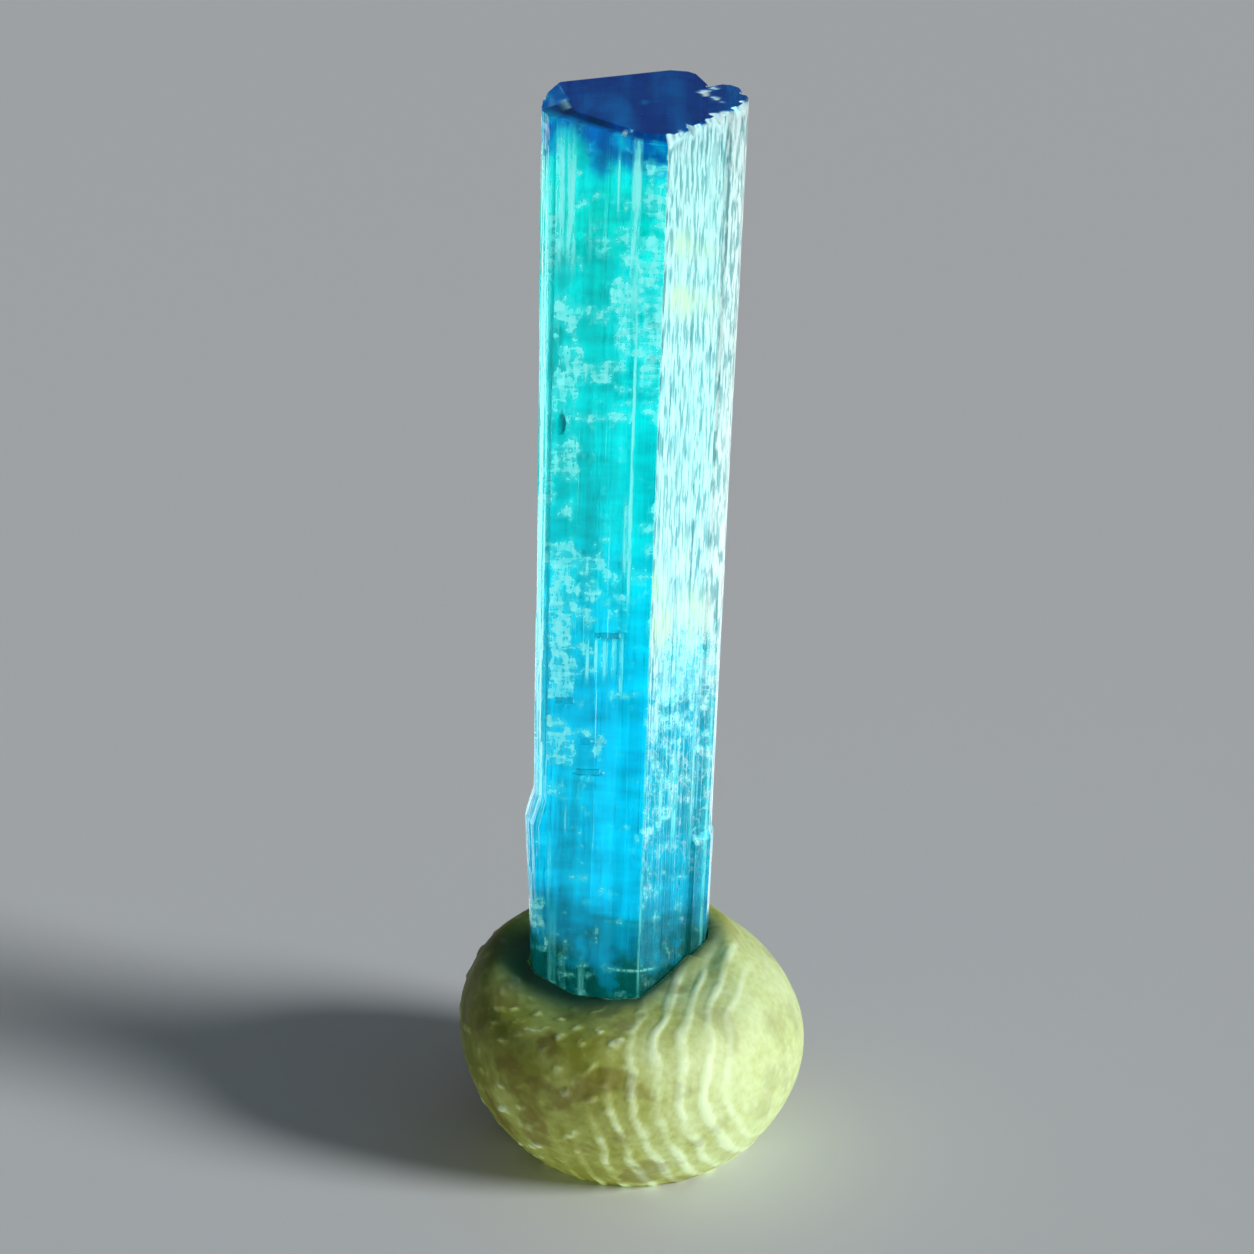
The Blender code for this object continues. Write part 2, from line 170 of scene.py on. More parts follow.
crystal = {
    "base": (-0.317, 0.0, 1.5),
    "length": 18.95,
    "lean": 1.64,
    "taper": 0.0062,
    "firstBearing": 52,
    "faceStep": 30,
    "faceDistances": (1.345, 1.53, 1.385, 1.69, 1.63, 1.383, 1.69, 1.767, 1.65, 1.312, 1.56, 1.665),
    "sideCrystals": (
        {"start": 80.5, "end": 125.5, "faces": {0: 1.365, 1: 1.741, 2: 1.85, 3: 1.68}, "low": 18.95,
         "high": 19.0, "narrowing": 0},
        {"start": -115, "end": -72, "faces": {7: 1.935, 8: 1.80, 9: 1.42}, "low": 5.05,
         "high": 5.56, "narrowing": 0.026},
        {"start": 75, "end": 100, "faces": {0: 1.42, 1: 1.79}, "low": 4.70,
         "high": 4.84, "narrowing": 0},
    ),
    # the end's faces; the last number of each paints that face lighter or darker as painted light
    "endFaces": (
        {"bearing": -76, "distance": 1.25, "slope": 0.40, "tint": 0.35},
        {"bearing": -38, "distance": 1.10, "slope": 0.45, "tint": -0.5},
        {"bearing": -4, "distance": 1.42, "slope": 0.80, "tint": -0.2},
        {"bearing": 200, "distance": 1.30, "slope": 0.50, "tint": 0.1},
    ),
    # faces with shallower striae than the back
    "calmFaces": ({"start": -72, "end": 14, "grooving": 0.22}, {"start": 14, "end": 128, "grooving": 0.5}),
    "fractureDip": 0.5,
    "fractureHinge": 1.25,  # how far in front of the axis a fracture's height is read
    "flatEnds": 3,  # the mesh's rows lie in the fractures' planes, but level out this near its ends
    "rimWear": 0.03,
    "chips": {"start": 14, "end": 128, "depth": 0.15, "width": 0.24, "size": 5.5},
    # the side with a near-white frosting, partly real and partly a painted reflection of the light on its
    # right, and how much of it is covered above each height
    "frost": {"start": 14.4, "end": 128, "left": 0.41, "reach": 0.5, "earlier": 1.2,
              "shares": ((2.0, 0.15), (4.6, 0.34), (6.0, 0.46), (8.2, 0.64), (9.6, 1.0))},
    # its yellowish patches: x, height, half width, half height and tone
    "warmPatches": (
        (0.76, 16.85, 0.26, 0.36, 0.7), (1.15, 16.8, 0.3, 0.3, 0.4), (0.75, 15.8, 0.34, 0.42, 1),
        (1.2, 15.85, 0.3, 0.3, 0.5), (0.55, 10.3, 0.25, 0.6, 0.7), (0.65, 9.55, 0.3, 0.6, 0.9),
        (1.2, 9.75, 0.42, 0.8, 0.9), (1, 10.9, 0.16, 0.6, 0.5),
    ),
    # healed fractures: strips of the front from one x to another, with the share of the strip
    # that is veiled above each height
    "veilStrips": (
        (-1.5, -1.02, ((2, 0.3), (3.2, 0), (6.05, 0.6), (6.35, 0), (6.72, 0.85), (7.4, 0.5),
         (7.75, 0), (8.08, 1), (8.9, 0.8), (11.2, 0), (11.7, 0.4), (12.15, 0), (12.45, 0.75),
         (13.1, 0.3), (13.75, 0.8), (14.9, 0.4), (15.3, 0.95), (15.9, 0), (16.45, 0.2), (18.4, 0))),
        (-1.02, -0.42, ((2, 0.25), (2.6, 0), (4.4, 0.5), (4.5, 0), (6.9, 0.4), (7.5, 0), (8.6, 0.45),
         (9.3, 0), (9.5, 0.4), (10.1, 0.5), (11.2, 0), (13.5, 0.75), (13.65, 0), (14.2, 0.9),
         (14.6, 0.2), (15, 0), (15.45, 0.5), (15.75, 0), (16.5, 0.3), (17.2, 0.1), (18.3, 0))),
        (-0.42, 0.08, ((2, 0), (8.05, 0.5), (8.25, 0), (9.4, 0.45), (10.1, 0.3), (10.8, 0),
         (13.45, 0.8), (13.7, 0.35), (14.7, 0.7), (15.4, 0.85), (16.2, 0.5), (17, 0.25), (18.2, 0))),
        (0.08, 0.41, ((2, 0), (10.5, 0.3), (11.3, 0.65), (11.6, 0.1), (12.4, 0), (13.6, 0.5),
         (14.5, 0.9), (16.3, 0.75), (17.9, 0.5), (18.4, 0.1))),
        (0.41, 1, ((2, 0), (3.6, 0.15), (5.4, 0.4), (7.5, 0.6), (9.6, 0.75), (18.5, 0.3))),
        (1, 1.72, ((2, 0), (5, 0.12), (7, 0.35), (8.6, 0.6), (18.5, 0.3))),
    ),
    # slanting clouds scattered round the sides and the back; wide in degrees
    "backVeils": {"count": 26, "low": 2.0, "high": 18.5, "wide": (10, 38), "tall": (0.25, 1.3),
                  "slant": 0.5, "least": 0.05, "most": 0.85, "seed": 4},
    # white bruises and slivers on the end: x, y, half length, half width, turn in degrees and tone
    "endBruises": (
        (1.05, 0.54, 0.19, 0.11, 100, 1), (1.21, 0.76, 0.13, 0.07, 120, 0.9),
        (1.24, 0.32, 0.14, 0.08, 110, 0.9), (1.33, 0.12, 0.1, 0.05, 110, 0.7),
        (1.41, -0.36, 0.15, 0.11, 0, 1), (0.97, -1.08, 0.12, 0.08, 80, 1),
        (-0.39, -1.29, 0.26, 0.05, 8, 0.6), (-1.33, -0.05, 0.3, 0.035, 106, 0.5),
        (-1.22, -0.72, 0.14, 0.04, 80, 0.3), (0.62, -1.28, 0.07, 0.1, 20, 0.6),
    ),
    "bruiseDepth": 0.03,
    # thin pale fractures seen edge on: from x to x, height at the middle, rise along x, sag towards
    # the middle, width and tone
    "paleCurves": (
        (-0.31, 0.86, 2.6, 0, -0.06, 0.05, 1), (-0.86, -0.56, 2.62, 0.1, 0, 0.06, 0.7),
        (-0.98, -0.6, 4.43, 0.22, 0, 0.07, 0.6), (-0.79, -0.55, 3.92, -0.1, 0, 0.07, 0.5),
        (0.65, 1.06, 6.44, -0.06, 0, 0.09, 0.8), (-1.46, -0.85, 12.84, 0.25, 0.25, 0.1, 0.8),
        (-0.72, -0.35, 11.18, 0.35, 0.05, 0.07, 0.7), (0.02, 0.47, 10.16, 0.85, 0, 0.07, 0.6),
        (-0.88, -0.27, 16.89, 0.03, 0.02, 0.07, 0.75), (-0.72, -0.2, 16.62, 0, 0, 0.06, 0.5),
        (-1.17, -0.45, 13.57, 0, 0.03, 0.08, 0.8), (-0.36, 0, 13.56, 0.1, 0, 0.12, 0.85),
        (-1.5, -0.94, 15.58, 0.15, 0.04, 0.12, 0.9), (-0.85, -0.5, 15.4, -0.1, 0, 0.09, 0.8),
        (0.24, 0.36, 5.3, -0.5, 0, 0.1, 1), (1.38, 1.78, 5.46, 0, 0.14, 0.05, 0.7),
    ),
    # a pit and the overhung edges of growth steps, sunk into the surface and painted dark as painted shade:
    # x, height, width, how tall, depth and tone
    "paintedShadeRecesses": (
        (-1.33, 13.46, 0.12, 0.34, 0.07, 0.8), (-0.4, 9.34, 0.62, 0.08, 0.02, 0.5),
        (-0.62, 7.22, 0.6, 0.1, 0.015, 0.25), (-0.7, 6.6, 0.65, 0.1, 0.015, 0.3),
        (-1.2, 8.03, 0.5, 0.1, 0.02, 0.3), (0.27, 15.3, 0.25, 0.08, 0.01, 0.2),
        (0.27, 14.62, 0.25, 0.08, 0.01, 0.2), (1.47, 16.6, 0.05, 5, 0.01, 0.2),
        (-1.56, 12.5, 0.06, 12, 0.02, 0.5),
    ),
    # narrow growth faces that catch the light, painted pale as painted glints: x, width, from height to
    # height, and tone
    "paintedGlintGrowthLines": (
        (-1.66, 0.17, 5.9, 18.4, 0.6), (-1.425, 0.19, 16.45, 18.85, 0.85),
        (-1.215, 0.17, 16.4, 18.85, 0.85), (-0.1, 0.16, 15.5, 18.75, 0.95), (-0.03, 0.06, 9.9, 15.6, 1),
        (-0.07, 0.16, 10.6, 11.95, 1), (-0.41, 0.05, 17.4, 18.4, 0.8), (-0.62, 0.05, 16.6, 17.6, 0.6),
        (-0.88, 0.06, 16.5, 17.5, 0.4), (-0.76, 0.07, 8.45, 9.25, 0.9), (-0.6, 0.06, 8.55, 9.25, 1),
        (-0.44, 0.07, 8.5, 9.25, 0.9), (-0.26, 0.09, 8.55, 9.25, 1), (-0.12, 0.07, 8.2, 9.25, 1),
        (-1.12, 0.05, 5.35, 5.95, 0.6), (-1.42, 0.07, 3.9, 5.2, 0.5), (0.42, 0.05, 2.2, 10, 0.7),
        (1.7, 0.06, 2.4, 8, 0.6), (0.74, 0.07, 5.6, 6.6, 0.7), (1.02, 0.08, 5.2, 7, 0.8),
        (1.36, 0.06, 5, 8.4, 0.6), (-1.34, 0.16, 1.9, 3.7, 0.35), (-1.12, 0.12, 1.7, 2.9, 0.3),
        (-0.74, 0.12, 1.6, 2.7, 0.5),
    ),
    # colours by height, from the foot to the end, and of the end from dark to light
    "zones": (
        (0.0, "#006C68"), (0.128, "#00706C"), (0.165, "#00C2F2"), (0.22, "#00D8FF"), (0.4, "#00D2FA"),
        (0.5, "#00D8F0"), (0.6, "#00E2E2"), (0.76, "#00E2DC"), (0.85, "#00DCD4"), (0.91, "#00FFEA"),
        (0.955, "#00ECEC"), (0.98, "#009CD8"), (0.997, "#0060C0"),
    ),
    "endBlues": ((0.0, "#001440"), (0.33, "#002E88"), (0.7, "#0064BC"), (1.0, "#A8ECFF")),
    # noises on the unrolled faces: cells to the millimetre across and along them, detail, and the
    # values that become 0 and 1
    "grain": {
        "waver": (1.6, 1.6, 2, 0.2, 0.8),
        "upright": (2.6, 0.3, 2, 0.3, 0.7),
        "wide": (0.5, 1.7, 2, 0.3, 0.7),
        "fine": (1.3, 6.5, 2, 0.3, 0.7),
        "drift": (2.6, 3.2, 2, 0, 1),
        "flat": (1.9, 7.5, 2, 0.4, 0.64),
        "tall": (7.5, 1.8, 2, 0.4, 0.64),
        "ragged": (9, 1.2, 2, 0.3, 0.6),
        "maze": (5.6, 4.4, 1, 0.25, 0.75),
        "dashes": (14, 1.8, 3, 0.38, 0.58),
        "spared": (2.6, 0.7, 2, 0.45, 0.9),
        "threads": (30, 0.9, 1, 0.2, 0.8),
    },
    "striae": {"Groove Width": 0.26, "Groove Depth": 0.03, "Step Length": 5.0, "Wander": 0.25,
               "Seed": 3.0},
    "columns": 400,
    "rows": 184,
    "capRings": 16,
    "capSkirt": 0.45,  # the evenly spaced rows stop this far below the end
    "ownRows": {"tall": 0.2, "width": 0.055},  # thinner marks and curves get rows of their own
    "seed": 11,
}


def turned(angle):
    return (angle + np.pi) % (2 * np.pi) - np.pi


def between(bearing, part):
    middle = math.radians((part["start"] + part["end"]) / 2)
    half = math.radians((part["end"] - part["start"]) / 2)
    return np.abs(turned(bearing - middle)) <= half


def reachOut(bearing, faces):
    # distance from the axis to the nearest of some flat faces, given as {number: distance}
    far, grazing = 99.0, 0.2
    nearest = np.full_like(bearing, far)
    for number, distance in faces.items():
        facing = math.radians(crystal["firstBearing"] + number * crystal["faceStep"])
        across = np.cos(turned(bearing - facing))
        reach = distance / np.maximum(across, grazing)
        nearest = np.minimum(nearest, np.where(across > grazing, reach, far))
    return nearest


mainFaces = dict(enumerate(crystal["faceDistances"]))


def evenBearings(count):
    # columns at even steps along the outline, not at even angles, starting at the back
    fine = np.linspace(math.pi, 3 * math.pi, 7201)  # every twentieth of a degree
    radius = reachOut(fine, mainFaces)
    x, y = radius * np.sin(fine), radius * np.cos(fine)
    run = np.concatenate([[0], np.cumsum(np.hypot(np.diff(x), np.diff(y)))])
    places = np.linspace(0, run[-1], count + 1)[:-1]
    return np.interp(places, run, fine), places


def crystalOutline(bearing, height):
    radius = reachOut(bearing, mainFaces)
    for side in crystal["sideCrystals"]:
        fade = np.clip((side["high"] - height) / (side["high"] - side["low"]), 0, 1)
        below = np.maximum(side["low"] - height, 0)
        out = reachOut(bearing, side["faces"]) * (1 - side["narrowing"] * below)
        grown = np.where(between(bearing, side), np.maximum(out, radius), radius)
        radius = radius + (grown - radius) * fade
    return radius * (1 - crystal["taper"] * (crystal["length"] - height))


def rimShape(bearing, radius, chance):
    # where the flat top starts and how far the rim drops outside it, with its chips
    inner = radius - crystal["rimWear"]
    drop = np.full_like(radius, crystal["rimWear"])
    chip, tint = np.zeros_like(radius), np.zeros_like(radius)
    for face in crystal["endFaces"]:
        across = np.cos(turned(bearing - math.radians(face["bearing"])))
        beyond = radius * across - face["distance"]
        reached = beyond > 0
        inner = np.where(reached, np.minimum(inner, face["distance"] / np.maximum(across, 0.1)), inner)
        drop = np.where(reached, np.maximum(drop, beyond * face["slope"]), drop)
        tint = np.where(reached, face["tint"], tint)
    # scooped chips follow one another round the rim, most of them shallow
    chips = crystal["chips"]
    place = chips["start"]
    while place < chips["end"]:
        wide = chips["size"] * chance.uniform(0.5, 1.6)
        deep = chance.random() ** 1.5
        inside = turned(bearing - math.radians(place)) / math.radians(wide)
        scoop = np.where((inside > 0) & (inside < 1), 4 * inside * (1 - inside), 0) ** 0.6
        inner = inner - chips["width"] * deep * scoop * chance.uniform(0.4, 1)
        drop = drop + chips["depth"] * deep * scoop
        chip = np.maximum(chip, scoop * (deep > 0.3))
        place += wide * 0.85
    return inner, drop, chip, tint


def soft(value, low, high):
    share = np.clip((value - low) / (high - low), 0, 1)
    return share * share * (3 - 2 * share)


def window(value, low, high, edge):
    # 1 from low to high and 0 beyond, with soft edges
    return soft(value, low - edge, low + edge) * soft(-value, -high - edge, -high + edge)


def stepped(height, shares, edge):
    # a share that changes to its next value at each height listed
    share = 0
    for low, above in shares:
        share += (above - share) * soft(height, low - edge, low + edge)
    return share


def dippedLevel(bearing, radius, height):
    return height + crystal["fractureDip"] * (crystal["fractureHinge"] - radius * np.cos(bearing))


def dippingHeight(bearing, level):
    length, ends = crystal["length"], crystal["flatEnds"]
    reach = reachOut(bearing, mainFaces) * (1 - crystal["taper"] * (length - level)) * np.cos(bearing)
    tilted = soft(level, 0, ends) * soft(length - level, 0, ends)
    return level + crystal["fractureDip"] * (reach - crystal["fractureHinge"]) * tilted


def markings(bearing, radius, height):
    # how veiled, bright, dark, frosting-covered and warm each point of a row is, and how far it is sunk; the
    # bright marks are pale fractures and painted glints, the dark ones painted shade, and the frosting partly
    # a painted reflection; the marks lie in planes that dip towards the front
    x = radius * np.sin(bearing) / (1 - crystal["taper"] * (crystal["length"] - height))
    front = np.cos(bearing) > 0
    height = dippedLevel(bearing, radius, height)
    clouds, frost = crystal["backVeils"], crystal["frost"]
    veiled = np.full_like(bearing, clouds["least"])
    chance = random.Random(clouds["seed"])
    for _ in range(clouds["count"]):
        place, level = chance.uniform(-180, 180), chance.uniform(clouds["low"], clouds["high"])
        wide, tall = chance.uniform(*clouds["wide"]), chance.uniform(*clouds["tall"])
        aside = turned(bearing - math.radians(place)) / math.radians(wide)
        slanted = height - level - clouds["slant"] * chance.uniform(-1, 1) * aside
        apart = np.hypot(aside, slanted / tall)
        veiled = np.maximum(veiled, clouds["most"] * soft(-apart, -1, 0))
    wobble = 0.05 * np.sin(3.1 * height) + 0.03 * np.sin(7.7 * height + 1)
    for left, right, shares in crystal["veilStrips"]:
        inside = window(x - wobble, left, right, 0.06)
        veiled = np.where(front, veiled + (stepped(height, shares, 0.07) - veiled) * inside, veiled)
    bright, dark, sunk, warm = np.zeros((4, *bearing.shape))
    for middle, width, low, high, tone in crystal["paintedGlintGrowthLines"]:
        half = width / 2
        along = window(height, low, high, min(0.5, (high - low) / 4))
        beside = window(x, middle - half, middle + half, min(0.03, half / 2))
        bright = np.maximum(bright, np.where(front, tone * along * beside, 0))
    for left, right, level, rise, sag, width, tone in crystal["paleCurves"]:
        half = (right - left) / 2
        share = (x - left) / half - 1
        path = level + rise * half * share + sag * (0.5 - share ** 2)
        near = soft(-np.abs(height - path), -width, 0) * soft(-np.abs(share), -1.05, -0.6)
        bright = np.maximum(bright, np.where(front, tone * near, 0))
    # painted shade: darkest in the pits and under the step overhangs
    for middle, level, width, tall, depth, tone in crystal["paintedShadeRecesses"]:
        within = np.sqrt(np.maximum(0, 1 - (np.abs(height - level) / (tall / 2 + 0.02)) ** 2))
        half = width / 2 * within
        beside = soft(-abs(x - middle), -half - 0.02, -half + 0.01)
        beside = np.where(front & (within > 0), beside, 0)
        dark = np.maximum(dark, beside * tone)
        sunk = np.maximum(sunk, beside * depth)
    for middle, level, wide, tall, tone in crystal["warmPatches"]:
        apart = np.hypot((x - middle) / wide, (height - level) / tall)
        warm = np.maximum(warm, np.where(front, tone * soft(-apart, -1.2, -0.2), 0))
    # the frosting and its painted reflection thin out downwards, and start lower at its left edge
    lifted = height + frost["earlier"] * soft(-x, -frost["left"] - frost["reach"], -frost["left"])
    frostedAndGlared = stepped(lifted, frost["shares"], 0.5) * between(bearing, frost)
    return (veiled, bright, dark, frostedAndGlared, warm), sunk


def bruises(x, y):
    bruised = np.zeros_like(x)
    for middleX, middleY, long, wide, turn, tone in crystal["endBruises"]:
        sine, cosine = math.sin(math.radians(turn)), math.cos(math.radians(turn))
        dx, dy = x - middleX, y - middleY
        inside = 1 - np.hypot((dx * cosine + dy * sine) / long, (dy * cosine - dx * sine) / wide)
        bruised = np.maximum(bruised, tone * soft(inside, 0, 0.35))
    return bruised


surfaceNotes = ("across", "along", "level", "wall", "veiled", "bright", "dark", "frost", "warm",
                "chip", "tint", "end")


def crystalGrid():
    chance = random.Random(crystal["seed"])
    bearing, across = evenBearings(crystal["columns"])
    length = crystal["length"]
    steps = list(np.linspace(0, length - crystal["capSkirt"], crystal["rows"]))
    thin = crystal["ownRows"]
    for _, height, _, tall, _, _ in crystal["paintedShadeRecesses"]:
        steps += [height + tall * k for k in (-0.7, -0.5, 0.5, 0.7) if tall < thin["tall"]]
    for _, _, height, _, _, width, _ in crystal["paleCurves"]:
        steps += [height + width * k for k in (-1, -0.4, 0.2, 0.8) if width < thin["width"]]
    rows, notes = [], []

    def addRow(radius, height, wall, chip=0.0, tint=0.0):
        # wall goes from 1 on the sides to 0 on the end
        height = np.broadcast_to(height, bearing.shape)
        marked, sunk = markings(bearing, radius, height)
        radius = radius - sunk * (wall > 0)
        x, y = radius * np.sin(bearing), -radius * np.cos(bearing)
        if wall < 0.5:
            bruised = bruises(x, y)
            height, chip = height - crystal["bruiseDepth"] * bruised, np.maximum(chip, bruised)
        rows.append(np.stack([x, y, height], 1))
        grooved = wall * np.ones_like(bearing)
        for part in crystal["calmFaces"]:
            grooved = np.where(between(bearing, part), wall * part["grooving"], grooved)
        level = dippedLevel(bearing, radius, height)
        marked = [note * (wall > 0) for note in marked]
        values = [across, height, level, grooved, *marked, chip, tint, wall < 0.35]
        notes.append([np.broadcast_to(value, bearing.shape) for value in values])

    for level in np.unique(np.round(steps, 3)):
        height = dippingHeight(bearing, level)
        addRow(crystalOutline(bearing, height), height, 1)
    radius = crystalOutline(bearing, length)
    inner, drop, chip, tint = rimShape(bearing, radius, chance)
    for share in (0.4, 0.7, 1.0):
        addRow(radius, height + (length - drop - height) * share, 1, chip * (share == 1))
    for share, wall in ((0.06, 0.5), (0.5, 0.2), (0.9, 0), (1.0, 0)):
        # at a face's inner edge a lighter face gets a brighter line as a painted glint, and a darker one is
        # evened out
        edge = np.where(tint < 0, tint * 0.2, tint * 1.6) if share == 1 else tint
        addRow(radius + (inner - radius) * share, length - drop * (1 - share), wall, chip * (share < 1), edge)
    rings = crystal["capRings"]
    for ring in range(1, rings):
        addRow(inner * (1 - (ring / rings) ** 1.5), length, 0)
    return np.array(rows), np.array(notes, dtype=float)


def striationTree():
    tree, add = newShapeTree("tourmalineStriations", crystal["striae"])
    given = add("NodeGroupInput").outputs
    across, along, wall = [add("GeometryNodeInputNamedAttribute", {"Name": name}, data_type="FLOAT")
                           for name in ("across", "along", "wall")]
    total = None
    # three sizes of groove: each cell across the face has its own tilt and depth
    for finer, shallower in ((1, 1), (0.42, 0.55), (0.17, 0.3)):
        width = add("ShaderNodeMath", {0: given["Groove Width"], 1: finer}, operation="MULTIPLY")
        place = add("ShaderNodeCombineXYZ", {"X": across, "Y": along})
        stretched = add("ShaderNodeVectorMath", {0: place, 1: (0.9 / finer, 0.22, 1)}, operation="MULTIPLY")
        bend = add("ShaderNodeTexNoise",
                   {"Vector": stretched, "W": given["Seed"], "Scale": 1.0, "Detail": 1.0},
                   noise_dimensions="4D")
        bendBy = add("ShaderNodeMath", {0: bend, 1: given["Wander"]}, operation="MULTIPLY")
        even = add("ShaderNodeMath", {0: across, 1: width}, operation="DIVIDE")
        bent = add("ShaderNodeMath", {0: bendBy, 1: 4.0, 2: even}, operation="MULTIPLY_ADD")
        cell = add("ShaderNodeMath", {0: bent}, operation="FLOOR")
        part = add("ShaderNodeMath", {0: bent}, operation="FRACT")
        cellSeed = add("ShaderNodeCombineXYZ", {"X": cell, "Y": given["Seed"]})
        ownStart = add("ShaderNodeTexWhiteNoise", {"Vector": cellSeed}, noise_dimensions="2D")
        steps = add("ShaderNodeMath", {0: along, 1: given["Step Length"]}, operation="DIVIDE")
        shifted = add("ShaderNodeMath", {0: ownStart.outputs["Value"], 1: 7.0, 2: steps},
                      operation="MULTIPLY_ADD")
        step = add("ShaderNodeMath", {0: shifted}, operation="FLOOR")
        stepSeed = add("ShaderNodeCombineXYZ", {"X": cell, "Y": step, "Z": given["Seed"]})
        pick = add("ShaderNodeTexWhiteNoise", {"Vector": stepSeed}, noise_dimensions="3D")
        chosen = add("FunctionNodeSeparateColor", {0: pick.outputs["Color"]}).outputs
        slope = add("ShaderNodeMath", {0: chosen[0], 1: 2.0, 2: -1.0}, operation="MULTIPLY_ADD")
        fromMiddle = add("ShaderNodeMath", {0: part, 1: 0.5}, operation="SUBTRACT")
        ramp = add("ShaderNodeMath", {0: slope, 1: fromMiddle}, operation="MULTIPLY")
        sunk = add("ShaderNodeMath", {0: ramp, 1: chosen[1]}, operation="SUBTRACT")
        depth = add("ShaderNodeMath", {0: given["Groove Depth"], 1: shallower}, operation="MULTIPLY")
        cut = add("ShaderNodeMath", {0: sunk, 1: depth}, operation="MULTIPLY")
        total = cut if total is None else add("ShaderNodeMath", {0: total, 1: cut}, operation="ADD")
    onWall = add("ShaderNodeMath", {0: total, 1: wall}, operation="MULTIPLY")
    position = add("GeometryNodeInputPosition")
    flat = add("ShaderNodeVectorMath", {0: position, 1: (1, 1, 0)}, operation="MULTIPLY")
    outward = add("ShaderNodeVectorMath", {0: flat}, operation="NORMALIZE")
    offset = add("ShaderNodeVectorMath", {0: outward, "Scale": onWall}, operation="SCALE")
    moved = add("GeometryNodeSetPosition", {"Geometry": given["Geometry"], "Offset": offset})
    endShapeTree(add, moved, given["Material"])
    return tree


def tourmalineMaterial():
    # elbaite tourmaline: glassy, see-through and strongly coloured, a turquoise prism with an
    # azure foot and a deep blue end; growth striae run along it and healed fractures cloud it
    material, tree, shader, add = newMaterial("elbaiteTourmaline", {
        "IOR": 1.63, "Transmission Weight": 0.6, "Specular IOR Level": 0.35,
        "Specular Tint": linearColour("#58F4EC")})
    across, along, level, wall, veiled, bright, dark, frost, warm, chip, tint, end = [
        add("ShaderNodeAttribute", attribute_name=name).outputs["Fac"] for name in surfaceNotes]
    place = add("ShaderNodeCombineXYZ", {"X": across, "Y": level})
    grain = {}
    for name, (wide, tall, detail, low, high) in crystal["grain"].items():
        scaled = add("ShaderNodeVectorMath", {0: place, 1: (wide, tall, 1)}, operation="MULTIPLY")
        noise = add("ShaderNodeTexNoise",
                    {"Vector": scaled, "Scale": 1.0, "Detail": detail, "Roughness": 0.55},
                    noise_dimensions="2D")
        grain[name] = add("ShaderNodeMapRange", {"Value": noise, "From Min": low, "From Max": high},
                          **smooth)

    # colour by height, its borders wavering by half a millimetre
    waver = 0.9
    shifted = add("ShaderNodeMath", {0: grain["waver"], 1: waver, 2: along}, operation="MULTIPLY_ADD")
    height = add("ShaderNodeMapRange", {"Value": shifted, "From Min": waver / 2,
                                        "From Max": crystal["length"] + waver / 2})
    zones = add("ShaderNodeValToRGB", {0: height}, crystal["zones"])

    # soft upright bands about 0.4 mm wide, crossed by flat ones and by fine flat lines
    bands = add("ShaderNodeMath", {0: grain["upright"], 1: grain["wide"]}, operation="ADD")
    lined = add("ShaderNodeMath", {0: grain["fine"], 1: 0.3, 2: bands}, operation="MULTIPLY_ADD")
    shade = add("ShaderNodeMath", {0: lined, 1: 0.3, 2: 0.54}, operation="MULTIPLY_ADD")
    # under the frosting the body colour is made duller and greener
    duller = add("ShaderNodeMapRange", {"Value": frost, "From Max": 0.1, "To Min": 1.0, "To Max": 0.66})
    dulled = add("ShaderNodeMath", {0: shade, 1: duller}, operation="MULTIPLY")
    body = add("ShaderNodeVectorMath", {0: zones, "Scale": dulled}, operation="SCALE")
    greening = add("ShaderNodeMath", {0: frost, 1: 0.8}, operation="MULTIPLY")

    # veils: hazy clouds half a millimetre across, crossed by flat and upright strokes and
    # broken into scales of 0.15 mm
    thick = add("ShaderNodeMath", {0: veiled, 1: 0.72, 2: grain["drift"]}, operation="MULTIPLY_ADD")
    cloud = add("ShaderNodeMapRange", {"Value": thick, "From Min": 0.60, "From Max": 1.10}, **smooth)
    drifting = add("ShaderNodeCombineXYZ", {"X": grain["waver"], "Y": grain["drift"]})
    bent = add("ShaderNodeVectorMath", {0: place, 1: (6.0, 5.0, 1), 2: drifting}, operation="MULTIPLY_ADD")
    scales = add("ShaderNodeTexVoronoi", {"Vector": bent, "Scale": 1.0, "Randomness": 0.85},
                 voronoi_dimensions="2D", distance="CHEBYCHEV").outputs
    scaleTone = add("ShaderNodeSeparateColor", {0: scales["Color"]})
    scale = add("ShaderNodeMapRange", {"Value": scales["Distance"], "From Min": 0.55, "From Max": 0.15},
                **smooth)
    strokes = add("ShaderNodeMath", {0: grain["flat"], 1: grain["tall"]}, operation="ADD")
    hatched = add("ShaderNodeMath", {0: strokes, 1: 0.42, 2: 0.22}, operation="MULTIPLY_ADD")
    scaly = add("ShaderNodeMath", {0: scale, 1: scaleTone}, operation="MULTIPLY")
    broken = add("ShaderNodeMath", {0: scaly, 1: 0.5, 2: hatched}, operation="MULTIPLY_ADD")
    clouded = add("ShaderNodeMath", {0: cloud, 1: broken}, operation="MULTIPLY")
    ragged = add("ShaderNodeMath", {0: grain["ragged"], 1: 0.65, 2: 0.45}, operation="MULTIPLY_ADD")
    # the pale fractures and the painted glints of the growth faces
    lines = add("ShaderNodeMath", {0: bright, 1: ragged}, operation="MULTIPLY")
    veils = add("ShaderNodeMath", {0: clouded, 1: lines}, operation="MAXIMUM", use_clamp=True)
    marks = add("ShaderNodeMath", {0: veils, 1: chip}, operation="MAXIMUM")
    veilTone = add("ShaderNodeMix", {"Factor": marks, 6: "#24F0EA", 7: "#A0FFF8"}, data_type="RGBA")
